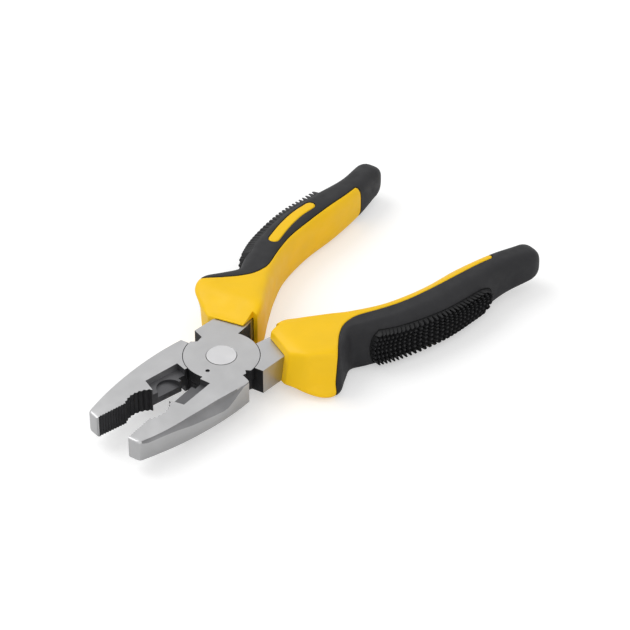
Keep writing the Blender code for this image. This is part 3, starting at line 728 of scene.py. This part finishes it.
def shade_between(tree, factor, low, high):
    """A colour that goes from low to high with the factor."""
    ramp = tree.nodes.new("ShaderNodeValToRGB")
    ramp.color_ramp.elements[0].position = NOISE_LOW
    ramp.color_ramp.elements[1].position = NOISE_HIGH
    ramp.color_ramp.elements[0].color = low
    ramp.color_ramp.elements[1].color = high
    tree.links.new(factor, ramp.inputs["Fac"])
    return ramp.outputs["Color"]


def number_between(tree, factor, low, high):
    spread = tree.nodes.new("ShaderNodeMapRange")
    spread.inputs["From Min"].default_value = NOISE_LOW
    spread.inputs["From Max"].default_value = NOISE_HIGH
    spread.inputs["To Min"].default_value = low
    spread.inputs["To Max"].default_value = high
    tree.links.new(factor, spread.inputs["Value"])
    return spread.outputs["Result"]


def bumps(tree, *layers):
    """Bump nodes in a row, one for each height and its depth in metres."""
    normal = None
    for height, depth in layers:
        bump = tree.nodes.new("ShaderNodeBump")
        bump.inputs["Strength"].default_value = 1.0
        bump.inputs["Distance"].default_value = depth
        tree.links.new(height, bump.inputs["Height"])
        if normal:
            tree.links.new(normal, bump.inputs["Normal"])
        normal = bump.outputs["Normal"]
    return normal


def finish_material(name):
    """A finish with a patchy colour and gloss, a fine grain and, on ground steel, fine lines."""
    color, roughness, metallic, change, scale, depth, lined = FINISHES[name]
    made = plain_material(name, color, roughness, metallic)
    tree = made.node_tree
    shader = tree.nodes["Principled BSDF"]
    low = [value * (1 - change) for value in color[:3]] + [1.0]
    high = [min(value * (1 + change), 1.0) for value in color[:3]] + [1.0]
    patches = noise(tree, PATCH_NOISE)
    tree.links.new(shade_between(tree, patches, low, high), shader.inputs["Base Color"])
    gloss = noise(tree, GLOSS_NOISE)
    gloss = number_between(tree, gloss, roughness - GLOSS_UNDER, roughness + GLOSS_OVER)
    tree.links.new(gloss, shader.inputs["Roughness"])
    layers = [(noise(tree, (scale, GRAIN_DETAIL)), depth)]
    if lined:
        layers.append((noise(tree, LINE_NOISE, LINE_STRETCH), LINE_DEPTH))
    tree.links.new(bumps(tree, *layers), shader.inputs["Normal"])
    return made


def set_camera(pivot):
    """Puts the camera at the photograph's angle, aimed past the joint towards the grips."""
    a, e = CAMERA_AZIMUTH, CAMERA_HEIGHT_ANGLE
    back = Vector((math.sin(a) * math.cos(e), -math.cos(a) * math.cos(e), math.sin(e)))
    right = Vector((math.cos(a), math.sin(a), 0.0))
    up = back.cross(right)
    turn = Matrix.Rotation(CAMERA_ROLL, 3, back)
    right, up = turn @ right, turn @ up
    target = Vector((pivot.x + CAMERA_TARGET[0], pivot.y + CAMERA_TARGET[1], pivot.z))
    place = target + back * CAMERA_DISTANCE
    lens = bpy.data.cameras.new("camera")
    lens.sensor_width = SENSOR_WIDTH * 1000
    lens.sensor_fit = "HORIZONTAL"
    lens.lens = CAMERA_FOCAL_PIXELS / IMAGE_SIZE * SENSOR_WIDTH * 1000
    lens.clip_start = NEAREST_SEEN
    camera = bpy.data.objects.new("camera", lens)
    camera.matrix_world = Matrix((
        (right.x, up.x, back.x, place.x),
        (right.y, up.y, back.y, place.y),
        (right.z, up.z, back.z, place.z),
        (0.0, 0.0, 0.0, 1.0)))
    bpy.context.scene.collection.objects.link(camera)
    bpy.context.scene.camera = camera


def area_light(name, place, size, power):
    """A round lamp aimed at the middle of the floor."""
    light = bpy.data.lights.new(name, "AREA")
    light.shape = "DISK"
    light.size = size
    light.energy = power
    made = bpy.data.objects.new(name, light)
    made.location = place
    made.rotation_euler = (-Vector(place)).to_track_quat("-Z", "Y").to_euler()
    bpy.context.scene.collection.objects.link(made)


def set_lights():
    """Two soft lamps, and a world that is white to the camera and in reflections."""
    area_light("key", *KEY_LAMP)
    area_light("fill", *FILL_LAMP)
    world = bpy.data.worlds.new("studio")
    world.use_nodes = True
    bpy.context.scene.world = world
    nodes = world.node_tree.nodes
    links = world.node_tree.links
    background = nodes["Background"]
    background.inputs["Color"].default_value = (1.0, 1.0, 1.0, 1.0)
    path = nodes.new("ShaderNodeLightPath")
    seen = nodes.new("ShaderNodeMath")
    seen.operation = "MAXIMUM"
    seen_through = nodes.new("ShaderNodeMath")
    seen_through.operation = "MAXIMUM"
    strength = nodes.new("ShaderNodeMapRange")
    strength.inputs["To Min"].default_value = AMBIENT
    strength.inputs["To Max"].default_value = 1.0
    links.new(path.outputs["Is Camera Ray"], seen.inputs[0])
    links.new(path.outputs["Is Glossy Ray"], seen.inputs[1])
    links.new(seen.outputs["Value"], seen_through.inputs[0])
    links.new(path.outputs["Is Transmission Ray"], seen_through.inputs[1])
    links.new(seen_through.outputs["Value"], strength.inputs["Value"])
    links.new(strength.outputs["Result"], background.inputs["Strength"])


def floor_material():
    """White to the camera apart from a faint shadow, and a plain pale floor to all else."""
    made = plain_material("pale_floor", FLOOR, FLOOR_ROUGHNESS, 0.0)
    tree = made.node_tree
    shader = tree.nodes["Principled BSDF"]
    shader.inputs["Specular IOR Level"].default_value = 0.0
    path = tree.nodes.new("ShaderNodeLightPath")
    glow = tree.nodes.new("ShaderNodeEmission")
    glow.inputs["Strength"].default_value = FLOOR_GLOW
    share = tree.nodes.new("ShaderNodeMath")
    share.operation = "MULTIPLY"
    share.inputs[1].default_value = FLOOR_SHARE
    blend = tree.nodes.new("ShaderNodeMixShader")
    out = tree.nodes["Material Output"]
    tree.links.new(path.outputs["Is Camera Ray"], share.inputs[0])
    tree.links.new(share.outputs["Value"], blend.inputs["Fac"])
    tree.links.new(shader.outputs["BSDF"], blend.inputs[1])
    tree.links.new(glow.outputs["Emission"], blend.inputs[2])
    tree.links.new(blend.outputs["Shader"], out.inputs["Surface"])
    return made


def pale_floor():
    bm = bmesh.new()
    bmesh.ops.create_grid(bm, x_segments=1, y_segments=1, size=FLOOR_REACH)
    floor = new_object("floor", mesh_from(bm, "floor"))
    floor.data.materials.append(floor_material())


def drawn_place(level, pivot):
    """The turn and shift that take a drawn piece to its place on one half."""
    turn = OPEN_ANGLE / 2 if level == "upper" else -OPEN_ANGLE / 2
    place = Matrix.Translation(pivot) @ Matrix.Rotation(turn, 4, "Z")
    if level == "lower":
        place = place @ Matrix.Rotation(math.pi, 4, "Y")
    return place


def in_hollow(centre, normal):
    """Says if a face of the drawn half lies in the long hollow of the jaw's flank."""
    start = Vector(FLANK_START)
    chord = Vector(FLANK_END) - start
    outward = Vector((chord.y, -chord.x)).normalized()
    spot = centre.xy - start
    share = spot.dot(chord) / chord.length_squared
    inside = FLANK_BULGE * (1 - (2 * share - 1) ** 2) - spot.dot(outward)
    return (0 < share < 1 and HOLLOW_START < inside < HOLLOW_DEPTH and abs(normal.z) < HOLLOW_LEAN
            and -FLANK_ROUND < centre.z < HEAD_THICKNESS / 2 - FLANK_ROUND / 2)


def finish_of(centre, normal):
    """The finish of a drawn half's face, by where it lies and which way it looks; the darker
    pocket and hollow steel and the near-black on the joint's and notch's walls are painted shade.
    """
    radius = math.hypot(centre.x, centre.y)
    half = HEAD_THICKNESS / 2
    # painted shade: the cutter pocket's faces take the darker steel
    if (-POCKET_FRONT - GAP < centre.y < -THROAT_END and centre.x < POCKET_WIDTH + GAP
            and abs(centre.z) < half - CHEEK_SKIN and radius > JOINT_RADIUS + GAP):
        return "pocket_shade_steel"
    # painted shade: the faces in the flank's hollow take the darker steel
    if in_hollow(centre, normal):
        return "forged_steel"
    # near-black faces in the joint's middle: painted shade
    if radius < JOINT_RADIUS + GAP and abs(centre.z) < LAP_SKIN:
        return "black_steel_and_shade"
    if abs(normal.z) >= UPRIGHT:
        return "ground_steel"
    # near-black on the gripping faces and neck sides, and painted shade on the joint's walls and
    # the notch's shoulders
    gripping = (-JAW_REACH + TIP_ROUND <= centre.y < -POCKET_FRONT
                and normal.x < GRIPPING_LEAN and centre.x < GRIPPING_REACH)
    lap = radius < JOINT_RADIUS + 2 * GAP and abs(centre.z) < half
    shoulder = centre.x < 0.0 and radius < SHOULDER_RADIUS + SHOULDER_SKIN
    neck = centre.x > -NECK_INSIDE - GAP and centre.y > NECK_START
    return "black_steel_and_shade" if gripping or lap or shoulder or neck else "ground_steel"


def round_tip(bm):
    """Swells the jaw a little towards its tip and rounds the tip's outer edges."""
    for vert in bm.verts:
        share = max((-vert.co.y - POCKET_FRONT) / (JAW_REACH - POCKET_FRONT), 0.0)
        vert.co.z *= mix(1.0, TIP_SWELL, share)
    edges = [edge for edge in bm.edges if len(edge.link_faces) == 2
             and max(vert.co.y for vert in edge.verts) < -JAW_REACH + TIP_FRONT
             and max(vert.co.x for vert in edge.verts) > TIP_INSIDE
             and edge.calc_face_angle() > TIP_EDGE_ANGLE]
    bmesh.ops.bevel(bm, geom=edges, offset=TIP_ROUND, offset_type="OFFSET",
                    segments=TIP_ROUND_STEPS, profile=0.5, affect="EDGES",
                    clamp_overlap=True, material=-1)


def steel_half(level, node, pivot, coats):
    """The frame's half with its tip rounded and a finish for each face by where it lies, with
    painted shade in the pocket, in the hollow and on the joint's and notch's walls.
    """
    place = drawn_place(level, pivot)
    bm = bmesh.new()
    bm.from_mesh(node.data)
    bmesh.ops.remove_doubles(bm, verts=bm.verts, dist=WELD)
    bmesh.ops.transform(bm, matrix=place.inverted(), verts=bm.verts)
    bmesh.ops.dissolve_limit(bm, angle_limit=FLAT_ANGLE, verts=bm.verts, edges=bm.edges)
    round_tip(bm)
    bm.normal_update()
    for face in bm.faces:
        finish = finish_of(face.calc_center_median(), face.normal)
        face.material_index = HALF_FINISHES.index(finish)
    bmesh.ops.triangulate(bm, faces=[face for face in bm.faces if len(face.verts) > 4])
    bmesh.ops.transform(bm, matrix=place, verts=bm.verts)
    piece = new_object(level + "_forged_half", mesh_from(bm, level + "_forged_half"))
    finish_piece(piece, coats, level, (node.name,))


def finish_piece(piece, coats, body, nodes):
    """Shades a new piece smooth between its sharp edges and hangs it on its body."""
    for coat in coats:
        piece.data.materials.append(coat)
    for polygon in piece.data.polygons:
        polygon.use_smooth = True
    carried = piece.data.attributes.get("custom_normal")
    if carried:
        piece.data.attributes.remove(carried)
    piece.data.set_sharp_from_angle(angle=SHARP_ANGLE)
    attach(piece, body)
    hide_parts(*nodes)


def main():
    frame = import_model()
    low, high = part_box("pivot_rivet")
    pivot = (low + high) / 2
    steels = [finish_material(name) for name in HALF_FINISHES]
    coats = {"core": finish_material("yellow_grip"), "cover": finish_material("black_rubber"),
             "spikes": finish_material("spike_shade_rubber")}
    rivet = frame["nodes"]["pivot_rivet"]
    rivet.data.materials.clear()
    rivet.data.materials.append(finish_material("rivet_steel"))
    sleeve = sleeve_mesh()
    forms = {"core": core_mesh(sleeve), "cover": cover_mesh(sleeve), "spikes": spikes_mesh()}
    for level in ("upper", "lower"):
        for part, mesh in forms.items():
            name = level + "_moulded_" + part
            piece = new_object(name, mesh.copy())
            piece.data.transform(drawn_place(level, pivot))
            finish_piece(piece, [coats[part]], level, (level + "_grip_" + part,))
        steel_half(level, frame["nodes"][level + "_half"], pivot, steels)
    set_camera(pivot)
    set_lights()
    pale_floor()
    bpy.context.scene.view_settings.view_transform = "Standard"


main()
